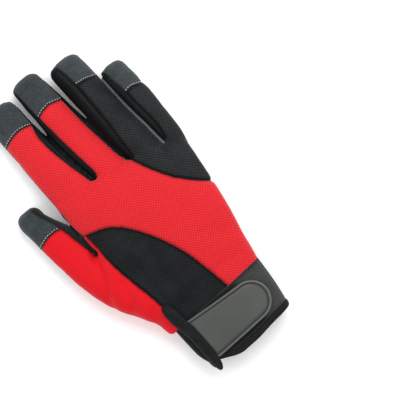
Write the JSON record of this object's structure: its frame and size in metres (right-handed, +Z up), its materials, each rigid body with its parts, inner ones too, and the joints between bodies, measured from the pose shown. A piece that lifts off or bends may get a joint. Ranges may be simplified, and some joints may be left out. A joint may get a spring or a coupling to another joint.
{
  "type": "mechanic glove",
  "caption": "Right-hand mechanic's work glove with knit back, mesh insets, suede palm with sewn patch, fingertip caps and a strap closure on a slit cuff.",
  "frame": {"origin": "middle of the glove's footprint, on the surface that its palm side lies on", "axes": "+Y from the cuff to the fingertips, +X from the thumb to the little finger, +Z up from the palm to the back of the hand"},
  "size_m": [0.1328, 0.249, 0.031],
  "materials": {
    "red_knit": "fine stretch knit, matt with a soft sheen",
    "black_mesh": "open spacer mesh, matt",
    "black_suede": "synthetic suede with a short nap",
    "gusset_fabric": "smooth stretch fabric",
    "cuff_fabric": "soft elastic band",
    "loop_fabric": "brushed loop fabric",
    "binding_tape": "woven tape",
    "strap_rubber": "moulded, satin"
  },
  "bodies": {
    "root": {"back_panel": "red_knit", "thumb_back_panel": "red_knit", "knuckle_mesh_panel": "black_mesh", "wrist_mesh_panel": "black_mesh", "palm_panel": "black_suede", "thumb_palm_panel": "black_suede", "palm_patch": "black_suede", "index_tip_cap": "black_suede", "middle_tip_cap": "black_suede", "ring_tip_cap": "black_suede", "little_tip_cap": "black_suede", "thumb_tip_cap": "black_suede", "index_middle_gusset": "gusset_fabric", "middle_ring_gusset": "gusset_fabric", "ring_little_gusset": "gusset_fabric", "cuff_band": "cuff_fabric", "cuff_loop_panel": "loop_fabric", "cuff_binding": "binding_tape", "slit_binding": "binding_tape", "strap_tab": "strap_rubber"}
  },
  "joints": []
}
